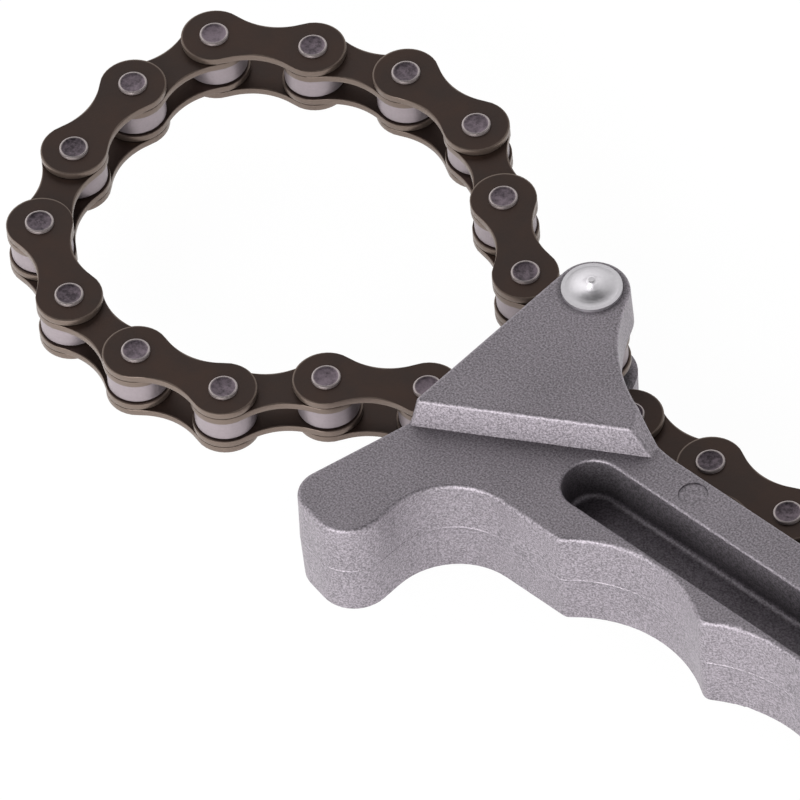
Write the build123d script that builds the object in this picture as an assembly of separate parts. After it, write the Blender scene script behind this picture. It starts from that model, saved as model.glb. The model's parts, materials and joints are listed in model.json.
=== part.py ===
"""Chain oil filter pliers: a die-cast handle with a forked head, a pivot rivet and a roller chain.

Frame: Z = 0 is the mid-plane of handle and chain, +X runs along the handle towards its tail, and the
origin is the axis of the filter that the chain loop holds. Lengths are in millimetres, angles in degrees.
"""
from build123d import *
from math import atan2, cos, radians, sin, sqrt
import os

# Roller chain, half inch by one eighth
PITCH = 12.7
ROLLER_DIAMETER = 7.75
ROLLER_LENGTH = 3.14
ROLLER_EDGE = 0.2
INNER_WIDTH = 3.3
PLATE_THICKNESS = 0.95
PLATE_END_DIAMETER = 8.4
PLATE_WAIST = 5.1
PIN_DIAMETER = 3.66
PIN_LENGTH = 8.8
PIN_EDGE = 0.25
BUSH_WALL = 0.65
PIN_CLEARANCE = 0.04
ROLLER_CLEARANCE = 0.05
PLATE_CLEARANCE = 0.08

# Route of the chain, from the pivot round the loop, through the fork and along the handle
PIVOT_X = 41.5
PIVOT_Y = 11.0
FIRST_LINK_HEADING = 175.0
LOOP_TURNS = [-30, 3, 28.5, 23, 11, 49.5, 18, 16, 36.5, 23.5, 17.5, 36, -15, -2.5]
STRAND_TURNS = [0]
TAIL_TURNS = [-27, -3, 2, 1, 4, 6, 7, 7, 5, 3, -2]

# Forked head
BOSS_RADIUS = 5.0
HEAD_THICKNESS = 22.0
FORK_GAP = 9.6
ROOT_WALL = 1.3
STEP_RUN = 1.2
RAMP_START = 9.5
RAMP_RUN = 2.9
HEAD_SWEEP_RADIUS = 22.0

# The casting's draft from its parting line, and its rounded outer edges
DRAFT = 1.5
EDGE_RADIUS = 0.55

# Teeth that hold the strand, on the root of the fork
TOOTH_COUNT = 2
TOOTH_HEIGHT = 2.7
TOOTH_BASE = 4.4
TOOTH_TIP = 2.2
TOOTH_THICKNESS = 2.5
TOOTH_CLEARANCE = 0.35

# Pivot rivet
RIVET_HEAD_DIAMETER = 7.6
RIVET_RIM = 0.45
RIVET_CONE = 1.0
RIVET_NIPPLE_DIAMETER = 1.5
RIVET_NIPPLE_HEIGHT = 0.35
RIVET_DOME = 1.7
RIVET_BULGE = 0.12
RIVET_CLEARANCE = 0.03

# Handle
HANDLE_THICKNESS = 15.0
HANDLE_DEPTH = 17.7
HANDLE_REACH = 139.0
CHAIN_REST_GAP = 0.3
CUSP_START = 22.0
SCALLOP_COUNT = 4
SCALLOP_PITCH = 21.5
SCALLOP_DEPTH = 3.3
CUSP_RADIUS = 1.6
GUARD_DEPTH = 1.2
TAIL_FLARE = 2.0
TAIL_RADIUS = 7.0

# Hooked nose in front of the index finger
NOSE_SLANT = 15.0
NOSE_LENGTH = 18.2
NOSE_WIDTH = 12.9
NOSE_TIP_SLOPE = 12.0
NOSE_FRONT_RADIUS = 4.0
NOSE_HEEL_RADIUS = 5.0
FINGER_RADIUS = 9.0

# Pockets in both faces of the handle, with a web between them
POCKET_START = 15.2
POCKET_END = 117.0
TOP_RAIL = 5.8
CREST_WALL = 1.0
WEB_THICKNESS = 2.2
POCKET_DRAFT = 2.0
FLOOR_RADIUS = 0.8
LIP_RADIUS = 0.4

# Hanging hole and the round marks left by the mould's ejector pins
HOLE_DIAMETER = 8.0
HOLE_INSET = 10.5
MARK_DIAMETER = 3.7
MARK_DEPTH = 0.15
MARK_START = 29.5
MARK_SPACING = 40.0
MARK_COUNT = 3

FRAME = Pos(PIVOT_X, PIVOT_Y, 0)


def headings():
    """Direction of every link, in degrees."""
    found = [FIRST_LINK_HEADING]
    for turn in LOOP_TURNS + STRAND_TURNS + TAIL_TURNS:
        found.append(found[-1] + turn)
    return found


def pin_places(directions):
    """Centre of every pin, seen from the pivot, which is pin 0."""
    places = [Vector(0, 0)]
    for heading in directions:
        step = Vector(PITCH * cos(radians(heading)), PITCH * sin(radians(heading)))
        places.append(places[-1] + step)
    return places


HEADINGS = headings()
PINS = pin_places(HEADINGS)

# The strand is the straight stretch between the cheeks, and DEPTH points from the pivot to the fork's root
STRAND_PIN = len(LOOP_TURNS) + 1
STRAND_HEADING = HEADINGS[STRAND_PIN - 1]
ALONG = Vector(cos(radians(STRAND_HEADING)), sin(radians(STRAND_HEADING)))
DEPTH = Vector(ALONG.Y, -ALONG.X)
STRAND_OFFSET = PINS[STRAND_PIN].dot(DEPTH)
STRAND_PLACE = PINS[STRAND_PIN].dot(ALONG)

TOOTH_TIP_DEPTH = STRAND_OFFSET + ROLLER_DIAMETER / 2 + TOOTH_CLEARANCE
ROOT_DEPTH = TOOTH_TIP_DEPTH + TOOTH_HEIGHT
STEP_DEPTH = ROOT_DEPTH + ROOT_WALL

PLATE_RADIUS = PLATE_END_DIAMETER / 2
HANDLE_TOP = PINS[STRAND_PIN + 2].Y - PLATE_RADIUS - CHAIN_REST_GAP
CUSP_LINE = HANDLE_TOP - HANDLE_DEPTH
POCKET_WIDTH = HANDLE_DEPTH - SCALLOP_DEPTH - TOP_RAIL - CREST_WALL


def strand_point(along, depth):
    """A point given along the strand and away from the pivot."""
    return ALONG * along + DEPTH * depth


def link_outline():
    """Figure-eight outline of a link plate, its first hole at the origin."""
    half_pitch, waist = PITCH / 2, PLATE_WAIST / 2
    hollow = (half_pitch ** 2 + waist ** 2 - PLATE_RADIUS ** 2) / (2 * (PLATE_RADIUS - waist))
    share = PLATE_RADIUS / (PLATE_RADIUS + hollow)
    joint_x, joint_y = share * half_pitch, share * (hollow + waist)
    start_end = ThreePointArc((joint_x, joint_y), (-PLATE_RADIUS, 0), (joint_x, -joint_y))
    lower = ThreePointArc((joint_x, -joint_y), (half_pitch, -waist), (PITCH - joint_x, -joint_y))
    far_end = ThreePointArc((PITCH - joint_x, -joint_y), (PITCH + PLATE_RADIUS, 0), (PITCH - joint_x, joint_y))
    upper = ThreePointArc((PITCH - joint_x, joint_y), (half_pitch, waist), (joint_x, joint_y))
    return make_face([start_end, lower, far_end, upper])


def link_plate(hole_radius, inner_face):
    """One plate, its lower face at inner_face."""
    holes = [Pos(x, 0) * Circle(hole_radius) for x in (0, PITCH)]
    return Pos(0, 0, inner_face) * extrude(link_outline() - holes, PLATE_THICKNESS)


def plate_pair(hole_radius, inner_face):
    """The upper and lower plate of a link."""
    upper = link_plate(hole_radius, inner_face)
    return [upper, mirror(upper, Plane.XY)]


def tube(outer_radius, inner_radius, length):
    """A hollow cylinder about the origin."""
    return Cylinder(outer_radius, length) - Cylinder(inner_radius, length)


def chain_pin():
    """A riveted pin with broken edges."""
    pin = Cylinder(PIN_DIAMETER / 2, PIN_LENGTH)
    return chamfer(pin.edges().filter_by(GeomType.CIRCLE), PIN_EDGE)


BUSH_BORE = PIN_DIAMETER / 2 + PIN_CLEARANCE
BUSH_RADIUS = BUSH_BORE + BUSH_WALL


def inner_link():
    """Two plates on two pressed-in bushes."""
    bush = tube(BUSH_RADIUS, BUSH_BORE, INNER_WIDTH + 2 * PLATE_THICKNESS)
    bushes = [Pos(x, 0) * bush for x in (0, PITCH)]
    return plate_pair(BUSH_RADIUS, INNER_WIDTH / 2) + bushes


def outer_link():
    """Two plates on two riveted pins."""
    inner_face = INNER_WIDTH / 2 + PLATE_THICKNESS + PLATE_CLEARANCE
    pins = [Pos(x, 0) * chain_pin() for x in (0, PITCH)]
    return plate_pair(PIN_DIAMETER / 2, inner_face) + pins


def roller():
    """The loose roller on a bush, with broken outer edges."""
    ring = tube(ROLLER_DIAMETER / 2, BUSH_RADIUS + ROLLER_CLEARANCE, ROLLER_LENGTH)
    return chamfer(ring.edges().filter_by(GeomType.CIRCLE).group_by(SortBy.RADIUS)[-1], ROLLER_EDGE)


def round_corner(face, point, radius):
    """Round the corner of a flat face that lies nearest to a point."""
    corner = face.vertices().sort_by_distance(Vector(*point))[0]
    return fillet(corner, radius)


def sweep_arc():
    """Hollow edge from the boss down to the handle, with the boss arc that meets it."""
    centre_y = HANDLE_TOP + HEAD_SWEEP_RADIUS
    centre_x = sqrt((HEAD_SWEEP_RADIUS + BOSS_RADIUS) ** 2 - centre_y ** 2)
    boss_angle = atan2(centre_y, centre_x)
    middle = (boss_angle + radians(180) + radians(270)) / 2
    boss_end = (BOSS_RADIUS * cos(boss_angle), BOSS_RADIUS * sin(boss_angle))
    on_arc = (centre_x + HEAD_SWEEP_RADIUS * cos(middle), centre_y + HEAD_SWEEP_RADIUS * sin(middle))
    handle_end = (centre_x, HANDLE_TOP)
    top_angle = (boss_angle + radians(180)) / 2
    boss_top = (BOSS_RADIUS * cos(top_angle), BOSS_RADIUS * sin(top_angle))
    boss = ThreePointArc((-BOSS_RADIUS, 0), boss_top, boss_end)
    return boss, ThreePointArc(boss_end, on_arc, handle_end), handle_end


def wall_crossing(depth):
    """Where a line at this depth crosses the head's straight left wall."""
    return (-BOSS_RADIUS, -(depth + BOSS_RADIUS * DEPTH.X) / -DEPTH.Y)


def body_outline():
    """Outline of head, nose, finger grip and tail, seen along Z."""
    boss, sweep, handle_end = sweep_arc()
    nose_top = wall_crossing(STEP_DEPTH)
    front_y = nose_top[1] - NOSE_LENGTH
    front = (nose_top[0] - NOSE_LENGTH * sin(radians(NOSE_SLANT)) / cos(radians(NOSE_SLANT)), front_y)
    slope = sin(radians(NOSE_TIP_SLOPE)) / cos(radians(NOSE_TIP_SLOPE))
    heel = (front[0] + NOSE_WIDTH, front_y - NOSE_WIDTH * slope)
    guard_line = CUSP_LINE - GUARD_DEPTH
    finger = (heel[0], guard_line)
    cusps = [(CUSP_START + n * SCALLOP_PITCH, CUSP_LINE) for n in range(SCALLOP_COUNT + 1)]
    cusps[0] = (CUSP_START, guard_line)
    tail_low = (HANDLE_REACH, CUSP_LINE - TAIL_FLARE)
    tail_high = (HANDLE_REACH, HANDLE_TOP)

    edges = [boss, sweep]
    edges += Polyline((-BOSS_RADIUS, 0), nose_top, front, heel, finger, cusps[0]).edges()
    for start, end in zip(cusps, cusps[1:]):
        crest = ((start[0] + end[0]) / 2, CUSP_LINE + SCALLOP_DEPTH)
        edges.append(ThreePointArc(start, crest, end))
    edges += Polyline(cusps[-1], tail_low, tail_high, handle_end).edges()

    face = make_face(edges)
    face = round_corner(face, front, NOSE_FRONT_RADIUS)
    face = round_corner(face, heel, NOSE_HEEL_RADIUS)
    face = round_corner(face, finger, FINGER_RADIUS)
    for cusp in cusps:
        face = round_corner(face, cusp, CUSP_RADIUS)
    face = round_corner(face, tail_low, TAIL_RADIUS)
    return round_corner(face, tail_high, TAIL_RADIUS)


def prism(outward, profile):
    """Long solid whose profile is given as distance along a direction and height."""
    plane = Plane(origin=(0, 0, 0), x_dir=(outward.X, outward.Y, 0), z_dir=(outward.Y, -outward.X, 0))
    return extrude(plane * make_face(Polyline(*profile, close=True).edges()), HANDLE_REACH, both=True)


def beyond_slope(outward, middle, run):
    """Space above the handle's face from a slope on, which comes down from the cheek's face."""
    low, high = HANDLE_THICKNESS / 2, HEAD_THICKNESS / 2
    over = 2 * high - low
    far = 2 * HANDLE_REACH
    return prism(outward, [(middle - run, over), (middle + run, low), (far, low), (far, over)])


def lies_at_foot(edge, outward, distance):
    """Whether an edge lies in the line where a slope meets the handle's face."""
    ends = (edge @ 0, edge @ 1)
    return all(abs(end.dot(outward) - distance) < 0.01 and end.Z < HANDLE_THICKNESS / 2 + 0.01 for end in ends)


def outer_edges(half):
    """Edges of the handle's and the cheek's faces, without the inside corners at the slopes."""
    feet = [(DEPTH, STEP_DEPTH + STEP_RUN), (ALONG, RAMP_START + RAMP_RUN)]
    found = [edge for edge in half.edges() if edge.bounding_box().min.Z > HANDLE_THICKNESS / 2 - 0.01]
    return [edge for edge in found if not any(lies_at_foot(edge, *foot) for foot in feet)]


def teeth():
    """Teeth on the fork's root, each one between two rollers of the strand."""
    base, tip = TOOTH_BASE / 2, TOOTH_TIP / 2
    made = []
    for number in range(TOOTH_COUNT):
        place = STRAND_PLACE + (number - TOOTH_COUNT / 2 + 0.5) * PITCH
        sunk = ROOT_DEPTH + ROOT_WALL / 2
        corners = [(place - base, sunk), (place - base, ROOT_DEPTH), (place - tip, TOOTH_TIP_DEPTH),
                   (place + tip, TOOTH_TIP_DEPTH), (place + base, ROOT_DEPTH), (place + base, sunk)]
        points = [strand_point(*corner) for corner in corners]
        face = make_face(Polyline(*points, close=True).edges())
        for corner in (corners[2], corners[3]):
            face = round_corner(face, strand_point(*corner), TOOTH_TIP / 3)
        made.append(extrude(face, TOOTH_THICKNESS / 2, both=True))
    return made


def pocket():
    """The long round-ended pocket in the upper face."""
    length = POCKET_END - POCKET_START
    middle_y = HANDLE_TOP - TOP_RAIL - POCKET_WIDTH / 2
    depth = (HANDLE_THICKNESS - WEB_THICKNESS) / 2
    mouth = Pos(POCKET_START + length / 2, middle_y) * SlotOverall(length, POCKET_WIDTH)
    hollow = Pos(0, 0, HANDLE_THICKNESS / 2) * extrude(mouth, -depth, taper=POCKET_DRAFT)
    floor_edges = hollow.faces().sort_by(Axis.Z)[0].edges()
    return fillet(floor_edges, FLOOR_RADIUS)


def fork_gap():
    """The gap between the cheeks, from beyond the boss down to the fork's root."""
    far = HANDLE_REACH
    gap = FORK_GAP / 2
    return prism(DEPTH, [(-far, -gap), (ROOT_DEPTH, -gap), (ROOT_DEPTH, gap), (-far, gap)])


def ejector_marks():
    """Shallow round marks along the upper rail."""
    rail_middle = HANDLE_TOP - TOP_RAIL / 2
    disc = Cylinder(MARK_DIAMETER / 2, 2 * MARK_DEPTH)
    return [Pos(MARK_START + n * MARK_SPACING, rail_middle, HANDLE_THICKNESS / 2) * disc
            for n in range(MARK_COUNT)]


def lies_on_rim(edge, hollow):
    """Whether an edge belongs to the mouth of the pocket."""
    box, mouth = edge.bounding_box(), hollow.bounding_box()
    inside = box.min.X > mouth.min.X - 0.01 and box.max.X < mouth.max.X + 0.01
    inside = inside and box.min.Y > mouth.min.Y - 0.01 and box.max.Y < mouth.max.Y + 0.01
    return inside and box.min.Z > mouth.max.Z - 0.01


def upper_half():
    """The casting above its parting line: drafted, cut down by both slopes, rounded and hollowed."""
    straight = extrude(body_outline(), HEAD_THICKNESS / 2)
    sides = straight.faces() - straight.faces().filter_by(Axis.Z)
    half = draft(sides, Plane.XY, DRAFT)
    half = half - beyond_slope(DEPTH, STEP_DEPTH, STEP_RUN) - beyond_slope(ALONG, RAMP_START, RAMP_RUN)
    half = fillet(outer_edges(half), EDGE_RADIUS)
    hollow = pocket()
    half = half - hollow
    return fillet([edge for edge in half.edges() if lies_on_rim(edge, hollow)], LIP_RADIUS)


def cast_body():
    """Handle and forked head, one casting."""
    half = upper_half()
    body = half + mirror(half, Plane.XY)
    body = body - fork_gap() + teeth()
    hole_y = (HANDLE_TOP + CUSP_LINE - TAIL_FLARE) / 2
    hole = Pos(HANDLE_REACH - HOLE_INSET, hole_y) * Cylinder(HOLE_DIAMETER / 2, HEAD_THICKNESS)
    rivet_bore = Cylinder(PIN_DIAMETER / 2 + RIVET_CLEARANCE, 2 * HEAD_THICKNESS)
    return body - hole - rivet_bore - ejector_marks()


def bulge(start, end, share):
    """Arc from start to end, bowed outwards by a share of its chord."""
    chord_x, chord_y = end[0] - start[0], end[1] - start[1]
    middle = ((start[0] + end[0]) / 2 + share * chord_y, (start[1] + end[1]) / 2 - share * chord_x)
    return ThreePointArc(start, middle, end)


def pivot_rivet():
    """Rivet through both cheeks: a spun head with a nipple on top, a low dome underneath."""
    shank, head, nipple = PIN_DIAMETER / 2, RIVET_HEAD_DIAMETER / 2, RIVET_NIPPLE_DIAMETER / 2
    top = HEAD_THICKNESS / 2
    rim = top + RIVET_RIM
    cone = rim + RIVET_CONE
    crown = cone + RIVET_NIPPLE_HEIGHT
    foot = -top - RIVET_DOME
    flat = nipple / 2
    lip = head - RIVET_RIM
    dome = bulge((nipple, foot), (head, -top), RIVET_BULGE)
    side = Polyline((head, -top), (shank, -top), (shank, top), (head, top), (head, rim), (lip, rim))
    flare = bulge((lip, rim), (nipple, cone), -RIVET_BULGE)
    cap = bulge((nipple, cone), (flat, crown), RIVET_BULGE)
    core = Polyline((flat, crown), (0, crown), (0, foot), (nipple, foot))
    profile = make_face([dome] + side.edges() + [flare, cap] + core.edges())
    return revolve(Plane.XZ * profile, Axis.Z)


def write(name, solids):
    """Write one node, placed in the part's frame."""
    solids = solids if isinstance(solids, list) else [solids]
    placed = [FRAME * solid for solid in solids]
    export_step(placed[0] if len(placed) == 1 else Compound(children=placed), f"parts/{name}.step")


def main():
    os.makedirs("parts", exist_ok=True)
    write("cast_body", cast_body())
    write("pivot_rivet", pivot_rivet())
    inner, outer, loose_roller = inner_link(), outer_link(), roller()
    roller_number = 0
    for number, heading in enumerate(HEADINGS, 1):
        start = PINS[number - 1]
        place = Pos(start.X, start.Y) * Rot(0, 0, heading)
        is_inner = number % 2 == 1
        pieces = inner if is_inner else outer
        write(f"{'inner' if is_inner else 'outer'}_link_{number:02d}", [place * piece for piece in pieces])
        if is_inner:
            for x in (0, PITCH):
                roller_number += 1
                write(f"roller_{roller_number:02d}", place * Pos(x, 0) * loose_roller)


main()
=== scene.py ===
"""Looks of the chain oil filter pliers: casting, rivet, chain, floor, surroundings, lamp and camera."""

import json
from math import atan2, cos, radians, sin

import bpy
from bpy.props import FloatProperty, FloatVectorProperty, PointerProperty
from mathutils import Matrix, Vector


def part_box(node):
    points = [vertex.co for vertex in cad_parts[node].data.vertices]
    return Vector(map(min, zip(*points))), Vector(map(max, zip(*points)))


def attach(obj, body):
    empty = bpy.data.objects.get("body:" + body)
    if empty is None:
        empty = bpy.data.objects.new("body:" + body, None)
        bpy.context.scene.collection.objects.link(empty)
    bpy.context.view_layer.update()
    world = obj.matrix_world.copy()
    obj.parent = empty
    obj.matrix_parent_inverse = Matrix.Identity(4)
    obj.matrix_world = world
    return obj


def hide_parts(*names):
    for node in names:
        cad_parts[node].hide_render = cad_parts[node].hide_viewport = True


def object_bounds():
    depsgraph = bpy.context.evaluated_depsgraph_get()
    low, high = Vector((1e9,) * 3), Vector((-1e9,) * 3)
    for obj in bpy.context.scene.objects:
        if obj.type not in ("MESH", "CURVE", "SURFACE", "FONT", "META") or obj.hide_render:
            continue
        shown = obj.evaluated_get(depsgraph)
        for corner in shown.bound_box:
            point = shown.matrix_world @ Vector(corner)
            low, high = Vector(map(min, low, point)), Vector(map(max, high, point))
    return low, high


bl_info = {
    "name": "Chain Oil Filter Pliers",
    "version": (1, 0, 0),
    "blender": (4, 5, 0),
    "location": "View3D > Sidebar > Pliers",
    "description": "Dresses a pair of chain oil filter pliers and sets their studio",
    "category": "Object",
}

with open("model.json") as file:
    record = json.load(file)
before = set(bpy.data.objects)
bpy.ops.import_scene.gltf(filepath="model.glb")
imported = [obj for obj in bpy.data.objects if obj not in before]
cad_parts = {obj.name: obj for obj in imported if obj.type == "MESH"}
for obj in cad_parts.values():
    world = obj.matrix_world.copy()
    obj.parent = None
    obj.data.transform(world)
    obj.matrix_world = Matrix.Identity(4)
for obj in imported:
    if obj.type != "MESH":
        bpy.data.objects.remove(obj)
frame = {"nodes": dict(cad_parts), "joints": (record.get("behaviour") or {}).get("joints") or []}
CAD_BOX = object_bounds()
MM = 0.001

JOINTS = {joint["name"]: joint for joint in frame["joints"]}
ROLLERS = sorted(name for name in frame["nodes"] if name.startswith("roller_"))
PINS = [Vector(JOINTS[name.replace("roller_", "roller_spin_")]["pos_m"]) for name in ROLLERS]
LINKS = sorted((name for name in frame["nodes"] if "_link_" in name), key=lambda name: name[-2:])
PIVOT = PINS[0]
PITCH = (PINS[1] - PINS[0]).length
RIVET_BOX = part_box("pivot_rivet")
RIVET_RADIUS = (RIVET_BOX[1].x - RIVET_BOX[0].x) / 2
INNER_PLATE_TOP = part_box("inner_link_03")[1].z

PLATE_GAP = 0.08 * MM  # between an inner plate and the outer one over it
PIN_BORE = 0.05 * MM  # centre mark of a peened pin
PLATE_SIDES = 132
ROUND_SIDES = 40
SIDE_BANDS = 5
FILL_BANDS = 3
CUTTER_LENGTH = 60 * MM
SHARP_ANGLE = radians(40)

FLOOR_HALF = 3.0  # half the width of the floor, in metres
FLOOR_PAINT = 0.95  # share of the light that the floor sends back to the pliers
FLOOR_LIT = 0.7  # what a pure white floor would send back of the studio's light
LAMP_DISTANCE = 1.0


def linear(red, green, blue):
    """A colour as seen on a screen, from 0 to 255, as the light that Blender reckons with."""
    return tuple((part / 255) ** 2.2 for part in (red, green, blue))


class Value:
    """A socket that can be reckoned with: an expression on values adds its Math nodes."""

    def __init__(self, tree, socket):
        self.tree = tree
        self.socket = socket

    def maths(self, operation, *others):
        parts = dict(enumerate((self, *others)))
        return self.tree.add("ShaderNodeMath", {"operation": operation}, parts)

    def __add__(self, other):
        return self.maths("ADD", other)

    __radd__ = __add__

    def __mul__(self, other):
        return self.maths("MULTIPLY", other)

    __rmul__ = __mul__

    def __sub__(self, other):
        return self.maths("SUBTRACT", other)

    def __rsub__(self, other):
        return (self * -1) + other

    def __truediv__(self, other):
        return self.maths("DIVIDE", other)

    def __pow__(self, other):
        return self.maths("POWER", other)

    def __gt__(self, other):
        return self.maths("GREATER_THAN", other)

    def __abs__(self):
        return self.maths("ABSOLUTE")

    def root(self):
        """Square root, with nothing below zero."""
        return self.maths("MAXIMUM", 0).maths("SQRT")

    def limited(self):
        """Kept between 0 and 1."""
        return self.maths("MAXIMUM", 0).maths("MINIMUM", 1)


class Tree:
    """A node tree whose nodes all come from one method."""

    def __init__(self, node_tree):
        self.node_tree = node_tree

    def add(self, kind, settings=None, sockets=None, output=0):
        """A new node: its settings are set first, then its sockets get values or links."""
        node = self.node_tree.nodes.new(kind)
        for name, setting in (settings or {}).items():
            setattr(node, name, setting)
        for key, given in (sockets or {}).items():
            for one in given if isinstance(given, list) else [given]:
                self.feed(node.inputs[key], one)
        if not node.outputs:
            return node
        return Value(self, node.outputs[output])

    def feed(self, socket, given):
        if isinstance(given, Value):
            self.node_tree.links.new(given.socket, socket)
        else:
            socket.default_value = given

    def split(self, vector):
        """The three parts of a vector."""
        first = self.add("ShaderNodeSeparateXYZ", None, {"Vector": vector})
        return [Value(self, part) for part in first.socket.node.outputs]

    def join(self, x, y, z):
        return self.add("ShaderNodeCombineXYZ", None, {"X": x, "Y": y, "Z": z})


class Finish(Tree):
    """A material with one Principled shader."""

    def __init__(self, name):
        self.material = bpy.data.materials.new(name)
        self.material.use_nodes = True
        super().__init__(self.material.node_tree)
        self.node_tree.nodes.clear()
        self.place = self.add("ShaderNodeTexCoord", None, None, "Object")

    def noise(self, size, detail, roughness, stretch=(1, 1, 1), vector=None):
        """Noise from 0 to 1 whose grains are about size metres across."""
        sockets = {"Vector": vector or self.place, "Scale": stretch}
        scaled = self.add("ShaderNodeMapping", None, sockets)
        sockets = {"Vector": scaled, "Scale": 1 / size, "Detail": detail, "Roughness": roughness}
        return self.add("ShaderNodeTexNoise", None, sockets, "Fac")

    def mix(self, share, first, second):
        """A colour between two colours."""
        sockets = {"Factor": share, 6: as_colour(first), 7: as_colour(second)}
        return self.add("ShaderNodeMix", {"data_type": "RGBA"}, sockets, 2)

    def bump(self, height, distance):
        """A surface that stands up by a distance where the height is 1."""
        return self.add("ShaderNodeBump", None, {"Height": height, "Distance": distance})

    def shade(self, sockets):
        """Ends the tree in a Principled shader."""
        shader = self.add("ShaderNodeBsdfPrincipled", None, sockets)
        self.add("ShaderNodeOutputMaterial", None, {"Surface": shader})
        return self.material


def as_colour(given):
    """What a colour socket takes: a link as it is, or three parts and full opacity."""
    return given if isinstance(given, Value) else (*given, 1)


def shaded(colour, share):
    """A colour made darker or lighter by a share, with no part above 1."""
    return tuple(min(1, share * part) for part in colour)


class CastingSettings(bpy.types.PropertyGroup):
    colour: FloatVectorProperty(
        name="Metal", description="Colour of the blasted casting", subtype="COLOR", size=3, min=0, max=1,
        default=linear(141, 135, 141))
    grain: FloatProperty(
        name="Grain", description="Size of the grains that blasting left", unit="LENGTH",
        default=0.25 * MM)
    grain_contrast: FloatProperty(
        name="Grain Contrast", description="How far light and dark grains differ", min=0, default=3.2)
    grain_depth: FloatProperty(
        name="Grain Depth", description="Depth of those grains", unit="LENGTH", default=0.05 * MM)
    # Painted shade: reach and strength of the shade painted dark into the casting's pockets and corners.
    painted_recess_shade: FloatProperty(
        name="Recess", description="Reach of the darkening in pockets and corners", unit="LENGTH",
        default=7.0 * MM)
    painted_recess_shade_strength: FloatProperty(
        name="Recess Darkness", description="How strongly pockets and corners darken", min=0, default=1.0)
    # Painted shadow: a dark ring painted on the casting round the rivet's foot, where its head casts
    # shade.
    painted_rivet_shadow: FloatProperty(
        name="Painted Rivet Shadow", description="Reach of the grime round the rivet", unit="LENGTH", default=0.8 * MM)
    painted_rivet_shadow_cover: FloatProperty(
        name="Grime Cover", description="How much of the metal that grime hides", subtype="FACTOR",
        min=0, max=1, default=0.6)
    parting_line: FloatProperty(
        name="Parting Line", description="Half the width of the line left by the mould's halves",
        unit="LENGTH", default=0.22 * MM)
    roughness: FloatProperty(
        name="Roughness", description="How dull the casting is", subtype="FACTOR", min=0, max=1,
        default=0.5)
    rivet_colour: FloatVectorProperty(
        name="Rivet", description="Colour of the bright rivet", subtype="COLOR", size=3, min=0, max=1,
        default=linear(222, 219, 223))


class ChainSettings(bpy.types.PropertyGroup):
    end_radius: FloatProperty(
        name="Plate End", description="Radius of a link plate's round ends", unit="LENGTH",
        default=4.2 * MM)
    waist: FloatProperty(
        name="Waist", description="Half the width of a plate at its waist", unit="LENGTH",
        default=2.55 * MM)
    plate_thickness: FloatProperty(
        name="Plate Thickness", description="Thickness of a link plate", unit="LENGTH",
        default=0.95 * MM)
    plate_edge: FloatProperty(
        name="Plate Edge", description="Rounding of a plate's punched edges", unit="LENGTH",
        default=0.14 * MM)
    pin_radius: FloatProperty(
        name="Pin Radius", description="Radius of the riveted pins", unit="LENGTH", default=1.83 * MM)
    pin_stand: FloatProperty(
        name="Pin Stand", description="How far a pin stands out of its plate", unit="LENGTH",
        default=0.38 * MM)
    pin_edge: FloatProperty(
        name="Pin Edge", description="Rounding of a pin's end", unit="LENGTH", default=0.2 * MM)
    pin_dish: FloatProperty(
        name="Pin Dish", description="How far the peened end lies below its rim", unit="LENGTH",
        default=0.14 * MM)
    bush_radius: FloatProperty(
        name="Bush Radius", description="Outer radius of the pressed-in bushes", unit="LENGTH",
        default=2.52 * MM)
    bush_bore: FloatProperty(
        name="Bush Bore", description="Radius of the hole in a bush", unit="LENGTH", default=1.87 * MM)
    plate_colour: FloatVectorProperty(
        name="Plates", description="Colour of the oil-blackened plates", subtype="COLOR", size=3,
        min=0, max=1, default=linear(66, 55, 51))
    # Rims: partly worn bare metal, partly a painted highlight where the plates' edges catch the light.
    rim_wear_and_highlight_colour: FloatVectorProperty(
        name="Plate Rims", description="Colour of the punched rims", subtype="COLOR", size=3,
        min=0, max=1, default=linear(112, 99, 91))
    pin_colour: FloatVectorProperty(
        name="Pins", description="Colour of the pin ends", subtype="COLOR", size=3, min=0, max=1,
        default=linear(100, 90, 97))
    # Painted highlight: the bright colour of the raised ring stands in for the light that it catches.
    pin_ring_highlight_colour: FloatVectorProperty(
        name="Pin Rims", description="Colour of the raised ring round a pin's end", subtype="COLOR",
        size=3, min=0, max=1, default=linear(178, 168, 167))
    roller_colour: FloatVectorProperty(
        name="Rollers", description="Colour of the bare rollers", subtype="COLOR", size=3, min=0, max=1,
        default=linear(150, 140, 144))


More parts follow.
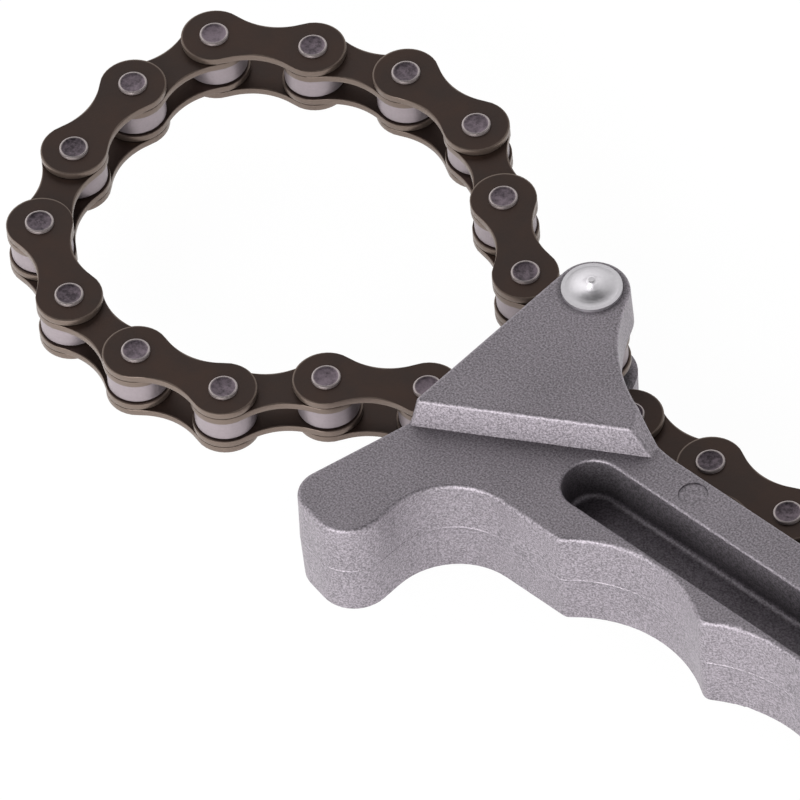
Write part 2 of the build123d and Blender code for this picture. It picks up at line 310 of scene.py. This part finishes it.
class StudioSettings(bpy.types.PropertyGroup):
    azimuth: FloatProperty(
        name="Azimuth", description="Where the camera stands round the pliers", subtype="ANGLE",
        default=radians(46.96))
    elevation: FloatProperty(
        name="Elevation", description="Height of the camera above the floor's plane", subtype="ANGLE",
        default=radians(49.36))
    roll: FloatProperty(
        name="Roll", description="Tilt of the camera about its own axis", subtype="ANGLE",
        default=radians(-5.44))
    distance: FloatProperty(
        name="Distance", description="From the camera to the pliers", unit="LENGTH", default=1843.3 * MM)
    field: FloatProperty(
        name="Field", description="Width that the picture takes in at the pliers", unit="LENGTH",
        default=98.31 * MM)
    aim: FloatVectorProperty(
        name="Aim", description="Point in the middle of the picture", subtype="XYZ", unit="LENGTH",
        size=3, default=(28.64 * MM, -10.81 * MM, 0))
    floor_light: FloatProperty(
        name="Floor", description="Light that the overexposed floor gives besides what falls on it",
        min=0, default=0.55)
    floor_shadow: FloatProperty(
        name="Floor Shadow", description="How much of the shadow on the floor is seen", subtype="FACTOR",
        min=0, max=1, default=0.06)
    lamp_light: FloatProperty(
        name="Lamp", description="Light of the soft lamp", subtype="POWER", unit="POWER", default=11.5)
    lamp_azimuth: FloatProperty(
        name="Lamp Azimuth", description="Where the lamp stands, from the camera's side", subtype="ANGLE",
        default=radians(-29))
    lamp_elevation: FloatProperty(
        name="Lamp Elevation", description="Height of the lamp above the floor's plane", subtype="ANGLE",
        default=radians(18))
    lamp_width: FloatProperty(
        name="Lamp Width", description="Width of the square lamp", unit="LENGTH", default=0.8)
    wall_light: FloatProperty(
        name="Surroundings", description="Light from all round", min=0, default=0.68)
    horizon_light: FloatProperty(
        name="Horizon", description="Light of the surroundings at the horizon", min=0, default=1.0)
    horizon_reach: FloatProperty(
        name="Horizon Reach", description="Height up to which the horizon brightens", subtype="ANGLE",
        default=radians(45))
    window_light: FloatProperty(
        name="Window", description="Light that a wide window on the left adds", min=0, default=0.62)
    window_azimuth: FloatProperty(
        name="Window Azimuth", description="Where the window is, from the camera's side", subtype="ANGLE",
        default=radians(-115))
    window_elevation: FloatProperty(
        name="Window Elevation", description="Height of the window's middle", subtype="ANGLE",
        default=radians(30))
    window_radius: FloatProperty(
        name="Window Radius", description="Reach of the window from its middle", subtype="ANGLE",
        default=radians(80))
    patch_light: FloatProperty(
        name="Patch", description="Light of the dark patch overhead", min=0, default=0.05)
    patch_elevation: FloatProperty(
        name="Patch Elevation", description="Height of the patch's middle over the camera's side",
        subtype="ANGLE", default=radians(88))
    patch_radius: FloatProperty(
        name="Patch Radius", description="Reach of the patch from its middle", subtype="ANGLE",
        default=radians(38))
    patch_sharpness: FloatProperty(
        name="Patch Sharpness", description="How quickly the patch gets dark", min=0.1, default=3.0)


class PliersSettings(bpy.types.PropertyGroup):
    casting: PointerProperty(type=CastingSettings, name="Casting", description="Casting and rivet")
    chain: PointerProperty(
        type=ChainSettings, name="Chain", description="Plates, pins, bushes and rollers")
    studio: PointerProperty(
        type=StudioSettings, name="Studio", description="Camera, floor, surroundings and lamp")


def settings():
    return bpy.context.scene.pliers


def dress(name, material):
    """Gives a CAD node its material."""
    node = frame["nodes"][name]
    for slot in node.material_slots:
        slot.material = material
    if not node.material_slots:
        node.data.materials.append(material)


def from_pivot(finish):
    """Distance from the rivet's axis and height, at each point of a surface."""
    sockets = {0: finish.place, 1: tuple(PIVOT)}
    offset = finish.add("ShaderNodeVectorMath", {"operation": "SUBTRACT"}, sockets)
    x, y, z = finish.split(offset)
    return (x * x + y * y).root(), z


def casting_finish(look):
    """Blasted die casting: grain, faint clouds, a painted shadow round the rivet, painted shade in
    pockets and corners, and the mould's parting line.
    """
    finish = Finish("cast aluminium")
    grain = finish.noise(look.grain, 3, 0.62)
    clouds = finish.noise(9 * MM, 3, 0.55)
    # Painted shade: ambient occlusion darkens the casting's colour in pockets and corners, where shade
    # falls.
    sockets = {"Distance": look.painted_recess_shade}
    painted_shade_ao = finish.add("ShaderNodeAmbientOcclusion", {"samples": 12, "only_local": True}, sockets, "AO")
    painted_shade_ao = painted_shade_ao ** look.painted_recess_shade_strength
    tone = ((grain - 0.5) * look.grain_contrast + 0.5 + (clouds - 0.5) * 0.4).limited()
    metal = finish.mix(tone, shaded(look.colour, 0.5), shaded(look.colour, 1.4))
    distance, _ = from_pivot(finish)
    # Painted shadow round the rivet: the colour falls towards a tenth of the metal's within this reach of
    # the head's edge.
    painted_rivet_shadow = (1 - (distance - RIVET_RADIUS) / look.painted_rivet_shadow).limited() * look.painted_rivet_shadow_cover
    metal = finish.mix(painted_rivet_shadow, metal, shaded(look.colour, 0.1))
    x, y, z = finish.split(finish.place)
    parting = (1 - abs(z) / look.parting_line).limited()
    return finish.shade({
        "Base Color": finish.mix(painted_shade_ao, shaded(look.colour, 0.12), metal),
        "Metallic": 0.85,
        "Roughness": (look.roughness + (grain - 0.5) * 0.25 + (clouds - 0.5) * 0.2).limited(),
        "Normal": finish.bump(grain + parting * 2, look.grain_depth),
    })


def rivet_finish(look):
    """Bright rivet with the rings that the spinning tool left."""
    finish = Finish("rivet steel")
    distance, z = from_pivot(finish)
    rings = finish.noise(0.22 * MM, 2, 0.5, vector=finish.join(distance, z, 0))
    specks = finish.noise(0.5 * MM, 3, 0.6)
    return finish.shade({
        "Base Color": finish.mix(specks, shaded(look.rivet_colour, 0.82), look.rivet_colour),
        "Metallic": 1.0,
        "Roughness": 0.3 + rings * 0.12 + specks * 0.08,
        "Normal": finish.bump(rings + specks, 0.012 * MM),
    })


def plate_finish(look):
    """Oil-blackened plates, brown in places, with punched rims painted bright: partly wear, partly a
    painted highlight.
    """
    finish = Finish("chain plate")
    rim = finish.add("ShaderNodeAttribute", {"attribute_name": "rim"}, None, "Fac")
    stain = finish.noise(5 * MM, 3, 0.55)
    specks = finish.noise(0.35 * MM, 3, 0.65)
    brown = tuple(part * tint for part, tint in zip(look.plate_colour, (1.15, 0.98, 0.86)))
    dark = shaded(look.plate_colour, 0.8)
    # Rims lighter than the faces: wear in specks and stains, and a painted highlight along the rounded
    # edges.
    wear_and_rim_highlight = (rim * 1.4 + (specks - 0.5) * 0.5 + (stain - 0.5) * 0.35 - 0.4).limited()
    face = finish.mix(((stain - 0.35) * 1.9 + (specks - 0.5) * 0.5).limited(), dark, brown)
    return finish.shade({
        "Base Color": finish.mix(wear_and_rim_highlight * 0.95, face, look.rim_wear_and_highlight_colour),
        "Metallic": 0.75,
        "Roughness": (0.4 + (specks - 0.5) * 0.2 + (stain - 0.5) * 0.15).limited(),
        "Normal": finish.bump(specks, 0.012 * MM),
    })


def pin_finish(look):
    """Peened pin ends: mottled, a little purple, no two alike, with a painted highlight on the raised
    ring.
    """
    finish = Finish("chain pin")
    each = finish.noise(30 * MM, 1, 0.5)
    blotches = finish.noise(0.8 * MM, 3, 0.65)
    specks = finish.noise(0.25 * MM, 2, 0.6)
    # Painted highlight on the raised ring round the pin's end.
    ring_highlight = finish.add("ShaderNodeAttribute", {"attribute_name": "rim"}, None, "Fac")
    ring_highlight = ((ring_highlight - 0.55) * 2.5 + (specks - 0.5) * 0.8).limited()
    tone = ((blotches - 0.5) * 2.2 + specks + (each - 0.5) * 2.5).limited()
    face = finish.mix(tone, shaded(look.pin_colour, 0.4), shaded(look.pin_colour, 1.5))
    return finish.shade({
        "Base Color": finish.mix(ring_highlight * 0.85, face, look.pin_ring_highlight_colour),
        "Metallic": 0.85,
        "Roughness": 0.3 + specks * 0.2,
        "Normal": finish.bump(blotches + specks * 0.4, 0.04 * MM),
    })


def roller_finish(look):
    """Bare rollers with fine marks running round them."""
    finish = Finish("chain roller")
    rings = finish.noise(0.3 * MM, 2, 0.5, stretch=(0.08, 0.08, 1))
    specks = finish.noise(0.4 * MM, 3, 0.6)
    tone = (rings * 0.6 + specks * 0.6).limited()
    return finish.shade({
        "Base Color": finish.mix(tone, shaded(look.roller_colour, 0.72), look.roller_colour),
        "Metallic": 0.7,
        "Roughness": 0.42 + rings * 0.12,
        "Normal": finish.bump(rings + specks * 0.5, 0.01 * MM),
    })


LINK_SIZES = (
    "Pitch", "End Radius", "Waist", "Plate Thickness", "Plate Edge", "Inner Face", "Hole Radius",
    "Fastener Radius", "Fastener Edge", "Fastener Dish", "Half Length", "Bore", "Heading")


class LinkTree(Tree):
    """Geometry nodes that make one chain link: two plates on two pins or bushes."""

    def __init__(self, name, plate_material, fastener_material):
        group = bpy.data.node_groups.new(name, "GeometryNodeTree")
        super().__init__(group)
        group.interface.new_socket("Geometry", in_out="OUTPUT", socket_type="NodeSocketGeometry")
        for size in LINK_SIZES:
            group.interface.new_socket(size, in_out="INPUT", socket_type="NodeSocketFloat")
        group.interface.new_socket("Start", in_out="INPUT", socket_type="NodeSocketVector")
        inputs = self.add("NodeGroupInput").socket.node
        self.size = {socket.name: Value(self, socket) for socket in inputs.outputs if socket.name}
        self.add("NodeGroupOutput", None, {"Geometry": self.link(plate_material, fastener_material)})

    def rounded_drum(self, radius_at, half_height, edge, vertices, dish=0.0):
        """A drum whose radius may change with the direction, with rounded edges and dished ends."""
        sockets = {"Vertices": vertices, "Side Segments": SIDE_BANDS, "Fill Segments": FILL_BANDS,
                   "Radius": 1.0, "Depth": 1.0}
        drum = self.add("GeometryNodeMeshCylinder", {"fill_type": "NGON"}, sockets, "Mesh")
        x, y, z = self.split(self.add("GeometryNodeInputPosition"))
        out = (x * x + y * y).root()
        cosine, sine = x / out, y / out
        turn = ((abs(z) * 2 - 1 / SIDE_BANDS) / (1 - 1 / SIDE_BANDS)).limited()
        radius = radius_at(abs(cosine), abs(sine)) - edge * turn * turn - (1 - out) * edge * FILL_BANDS
        hollow = ((1 - out) * 2).limited() * dish
        height = half_height - edge * (1 - turn) * (1 - turn) - hollow
        place = self.join(cosine * radius, sine * radius, z.maths("SIGN") * height)
        marked = self.marked(drum, "rim", (out * 2 - 1).limited())
        return self.add("GeometryNodeSetPosition", None, {"Geometry": marked, "Position": place})

    def marked(self, geometry, name, share):
        """The geometry with a named attribute on its points."""
        settings = {"data_type": "FLOAT", "domain": "POINT"}
        sockets = {"Geometry": geometry, "Name": name, "Value": share}
        return self.add("GeometryNodeStoreNamedAttribute", settings, sockets)

    def plate_radius(self, cosine, sine):
        """Distance from a plate's middle to its figure-eight outline, in one direction."""
        half_pitch = self.size["Pitch"] / 2
        end, waist = self.size["End Radius"], self.size["Waist"]
        hollow = (half_pitch * half_pitch + waist * waist - end * end) / ((end - waist) * 2)
        share = end / (end + hollow)
        joint_x, joint_y = half_pitch - share * half_pitch, share * (hollow + waist)
        height = hollow + waist
        round_end = half_pitch * cosine + (end * end - half_pitch * half_pitch * sine * sine).root()
        hollow_side = height * sine - (hollow * hollow - height * height * cosine * cosine).root()
        at_waist = (sine * joint_x) > (cosine * joint_y)
        return round_end + at_waist * (hollow_side - round_end)

    def joined(self, parts):
        return self.add("GeometryNodeJoinGeometry", None, {"Geometry": parts})

    def moved(self, geometry, place):
        return self.add("GeometryNodeTransform", None, {"Geometry": geometry, "Translation": place})

    def without(self, geometry, cutters):
        sockets = {"Mesh 1": geometry, "Mesh 2": cutters}
        return self.add("GeometryNodeMeshBoolean", {"operation": "DIFFERENCE"}, sockets, "Mesh")

    def cutter(self, radius, place):
        sockets = {"Vertices": ROUND_SIDES, "Radius": radius, "Depth": CUTTER_LENGTH}
        rod = self.add("GeometryNodeMeshCylinder", {"fill_type": "NGON"}, sockets, "Mesh")
        return self.moved(rod, place)

    def link(self, plate_material, fastener_material):
        """The whole link, laid from its first pin and painted."""
        size = self.size
        half_pitch = size["Pitch"] / 2
        ends = [self.join(half_pitch * side, 0, 0) for side in (-1, 1)]
        half_plate = size["Plate Thickness"] / 2
        blank = self.rounded_drum(self.plate_radius, half_plate, size["Plate Edge"], PLATE_SIDES)
        plate = self.without(blank, [self.cutter(size["Hole Radius"], end) for end in ends])
        lift = size["Inner Face"] + half_plate
        plates = [self.moved(plate, self.join(0, 0, lift * side)) for side in (-1, 1)]
        pair = self.marked(self.joined(plates), "fastener", 0.0)

        def fastener_radius(cosine, sine):
            return size["Fastener Radius"]

        rod = self.rounded_drum(fastener_radius, size["Half Length"], size["Fastener Edge"],
                                ROUND_SIDES, size["Fastener Dish"])
        rod = self.without(rod, [self.cutter(size["Bore"], self.join(0, 0, 0))])
        rods = self.marked(self.joined([self.moved(rod, end) for end in ends]), "fastener", 1.0)

        link = self.moved(self.joined([pair, rods]), self.join(half_pitch, 0, 0))
        turn = self.join(0, 0, size["Heading"])
        sockets = {"Geometry": link, "Rotation": turn, "Translation": size["Start"]}
        placed = self.add("GeometryNodeTransform", None, sockets)
        real = self.add("GeometryNodeRealizeInstances", None, {"Geometry": placed})
        sockets = {"Geometry": real, "Material": plate_material}
        painted = self.add("GeometryNodeSetMaterial", None, sockets)
        fastener = self.add(
            "GeometryNodeInputNamedAttribute", {"data_type": "FLOAT"}, {"Name": "fastener"})
        sockets = {"Geometry": painted, "Selection": fastener > 0.5, "Material": fastener_material}
        return self.add("GeometryNodeSetMaterial", None, sockets)


def grown(name, tree, values):
    """The plain mesh object that a geometry tree makes from named values."""
    seed = bpy.data.objects.new(name + "_seed", bpy.data.meshes.new(name + "_seed"))
    bpy.context.scene.collection.objects.link(seed)
    modifier = seed.modifiers.new("link", "NODES")
    modifier.node_group = tree.node_tree
    for item in tree.node_tree.interface.items_tree:
        if item.in_out == "INPUT":
            modifier[item.identifier] = values[item.name]
    evaluated = seed.evaluated_get(bpy.context.evaluated_depsgraph_get())
    mesh = bpy.data.meshes.new_from_object(evaluated)
    mesh.name = name
    bpy.data.objects.remove(seed)
    mesh.shade_smooth()
    mesh.set_sharp_from_angle(angle=SHARP_ANGLE)
    piece = bpy.data.objects.new(name, mesh)
    bpy.context.scene.collection.objects.link(piece)
    return piece


class PLIERS_OT_casting(bpy.types.Operator):
    """Give the casting its blasted metal"""
    bl_idname = "pliers.casting"
    bl_label = "Finish Casting"

    def execute(self, context):
        dress("cast_body", casting_finish(settings().casting))
        return {"FINISHED"}


class PLIERS_OT_rivet(bpy.types.Operator):
    """Give the pivot rivet its bright steel"""
    bl_idname = "pliers.rivet"
    bl_label = "Finish Rivet"

    def execute(self, context):
        dress("pivot_rivet", rivet_finish(settings().casting))
        return {"FINISHED"}


class PLIERS_OT_links(bpy.types.Operator):
    """Make every link of the chain, one mesh for each"""
    bl_idname = "pliers.links"
    bl_label = "Make Links"

    def execute(self, context):
        look = settings().chain
        plates, pins = plate_finish(look), pin_finish(look)
        trees = {kind: LinkTree(f"{kind} link", plates, pins) for kind in ("inner", "outer")}
        outer_face = INNER_PLATE_TOP + PLATE_GAP
        common = {"Pitch": PITCH, "End Radius": look.end_radius, "Waist": look.waist,
                  "Plate Thickness": look.plate_thickness, "Plate Edge": look.plate_edge}
        own = {
            "inner": {
                "Inner Face": INNER_PLATE_TOP - look.plate_thickness, "Hole Radius": look.bush_radius,
                "Fastener Radius": look.bush_radius, "Fastener Edge": look.plate_edge / 2,
                "Fastener Dish": 0.0, "Half Length": INNER_PLATE_TOP, "Bore": look.bush_bore},
            "outer": {
                "Inner Face": outer_face, "Hole Radius": look.pin_radius,
                "Fastener Radius": look.pin_radius, "Fastener Edge": look.pin_edge,
                "Fastener Dish": look.pin_dish, "Bore": PIN_BORE,
                "Half Length": outer_face + look.plate_thickness + look.pin_stand},
        }
        for number, node in enumerate(LINKS, 1):
            kind = node.split("_")[0]
            start, end = PINS[number - 1], PINS[number]
            heading = atan2(end.y - start.y, end.x - start.x)
            values = {**common, **own[kind], "Heading": heading, "Start": tuple(start)}
            piece = grown(f"chain_link_{number:02d}", trees[kind], values)
            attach(piece, f"link_{number:02d}")
            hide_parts(node)
        return {"FINISHED"}


class PLIERS_OT_rollers(bpy.types.Operator):
    """Give the rollers their bare steel"""
    bl_idname = "pliers.rollers"
    bl_label = "Finish Rollers"

    def execute(self, context):
        material = roller_finish(settings().chain)
        for name in ROLLERS:
            dress(name, material)
        return {"FINISHED"}


def direction(azimuth, elevation):
    """Unit vector away from the pliers; at azimuth 0 it points along -Y, as towards a camera there."""
    level = cos(elevation)
    return Vector((sin(azimuth) * level, -cos(azimuth) * level, sin(elevation)))


def camera_turn(look):
    """How the camera is turned, as a matrix whose last column points back at it."""
    upright = direction(look.azimuth, look.elevation).to_track_quat("Z", "Y").to_matrix()
    return upright @ Matrix.Rotation(look.roll, 3, "Z")


def add_camera(look):
    """The camera, far off and turned as the photograph's was."""
    data = bpy.data.cameras.new("camera")
    data.sensor_width = 36
    data.lens = data.sensor_width * look.distance / look.field
    data.clip_start, data.clip_end = 0.1, 20
    camera = bpy.data.objects.new("camera", data)
    bpy.context.scene.collection.objects.link(camera)
    turn = camera_turn(look)
    place = Vector(look.aim) + turn.col[2] * look.distance
    camera.matrix_world = Matrix.Translation(place) @ turn.to_4x4()
    bpy.context.scene.camera = camera


def floor_finish(look):
    """Floor that is overexposed to white and lights the pliers outside their shadow."""
    finish = Finish("white floor")
    seen = finish.add("ShaderNodeLightPath", None, None, "Is Camera Ray")
    seen_glow = 1 - look.floor_shadow * FLOOR_LIT
    strength = seen * (seen_glow - look.floor_light) + look.floor_light
    glow = finish.add("ShaderNodeEmission", None, {"Color": (1, 1, 1, 1), "Strength": strength})
    paint = FLOOR_PAINT - seen * (FLOOR_PAINT - look.floor_shadow)
    matt = finish.add("ShaderNodeBsdfDiffuse", None, {"Color": finish.join(paint, paint, paint)})
    surface = finish.add("ShaderNodeAddShader", None, {0: glow, 1: matt})
    finish.add("ShaderNodeOutputMaterial", None, {"Surface": surface})
    return finish.material


def add_floor(look):
    half, level = FLOOR_HALF, CAD_BOX[0].z
    corners = [(x * half, y * half, level) for x, y in ((-1, -1), (1, -1), (1, 1), (-1, 1))]
    mesh = bpy.data.meshes.new("floor")
    mesh.from_pydata(corners, [], [(0, 1, 2, 3)])
    mesh.materials.append(floor_finish(look))
    floor = bpy.data.objects.new("floor", mesh)
    bpy.context.scene.collection.objects.link(floor)


def add_world(look):
    """Surroundings, white to the camera: brightest low down, a window on the left, a dark patch above."""
    world = bpy.data.worlds.new("surroundings")
    world.use_nodes = True
    tree = Tree(world.node_tree)
    world.node_tree.nodes.clear()
    parts = tree.split(tree.add("ShaderNodeTexCoord", None, None, "Generated"))

    def spot(azimuth, elevation, radius):
        """1 in the middle of a round spot of the surroundings, falling to 0 at its radius."""
        towards = direction(look.azimuth + azimuth, elevation)
        nearness = sum(part * share for part, share in zip(parts, towards))
        return ((nearness - cos(radius)) / (1 - cos(radius))).limited()

    patch = (spot(0, look.patch_elevation, look.patch_radius) * look.patch_sharpness).limited()
    low = (1 - parts[2] / sin(look.horizon_reach)).limited()
    wall = low * (look.horizon_light - look.wall_light) + look.wall_light
    window = spot(look.window_azimuth, look.window_elevation, look.window_radius)
    wall = wall + window * look.window_light
    mirrored = wall * (1 - patch) + patch * look.patch_light
    seen = tree.add("ShaderNodeLightPath", None, None, "Is Camera Ray")
    strength = seen * (1 - mirrored) + mirrored
    sockets = {"Color": (1, 1, 1, 1), "Strength": strength}
    background = tree.add("ShaderNodeBackground", None, sockets)
    tree.add("ShaderNodeOutputWorld", None, {"Surface": background})
    bpy.context.scene.world = world


def add_lamp(look):
    """A soft square lamp that stands low beside the camera and shines at the pliers."""
    data = bpy.data.lights.new("low lamp", "AREA")
    data.energy = look.lamp_light
    data.size = look.lamp_width
    lamp = bpy.data.objects.new("low lamp", data)
    bpy.context.scene.collection.objects.link(lamp)
    away = direction(look.azimuth + look.lamp_azimuth, look.lamp_elevation)
    lamp.location = Vector(look.aim) + away * LAMP_DISTANCE
    lamp.rotation_mode = "QUATERNION"
    lamp.rotation_quaternion = away.to_track_quat("Z", "Y")


class PLIERS_OT_studio(bpy.types.Operator):
    """Set the camera, the floor, the surroundings and the lamp"""
    bl_idname = "pliers.studio"
    bl_label = "Set Studio"

    def execute(self, context):
        look = settings().studio
        context.scene.view_settings.view_transform = "Standard"
        add_camera(look)
        add_floor(look)
        add_world(look)
        add_lamp(look)
        return {"FINISHED"}


STEPS = (PLIERS_OT_casting, PLIERS_OT_rivet, PLIERS_OT_links, PLIERS_OT_rollers, PLIERS_OT_studio)


class PLIERS_PT_sidebar(bpy.types.Panel):
    """Lists the steps and the settings of the pliers"""
    bl_idname = "PLIERS_PT_sidebar"
    bl_label = "Chain Oil Filter Pliers"
    bl_space_type = "VIEW_3D"
    bl_region_type = "UI"
    bl_category = "Pliers"

    def draw(self, context):
        for step in STEPS:
            self.layout.operator(step.bl_idname)
        for name in ("casting", "chain", "studio"):
            group = getattr(context.scene.pliers, name)
            box = self.layout.box()
            for setting in group.bl_rna.properties:
                if not setting.is_readonly and setting.identifier != "name":
                    box.prop(group, setting.identifier)


CLASSES = (CastingSettings, ChainSettings, StudioSettings, PliersSettings, *STEPS, PLIERS_PT_sidebar)


def register():
    for cls in CLASSES:
        bpy.utils.register_class(cls)
    bpy.types.Scene.pliers = PointerProperty(type=PliersSettings)


def unregister():
    del bpy.types.Scene.pliers
    for cls in reversed(CLASSES):
        bpy.utils.unregister_class(cls)


def main():
    register()
    for step in STEPS:
        group, name = step.bl_idname.split(".")
        getattr(getattr(bpy.ops, group), name)()


if __name__ == "__main__":
    main()
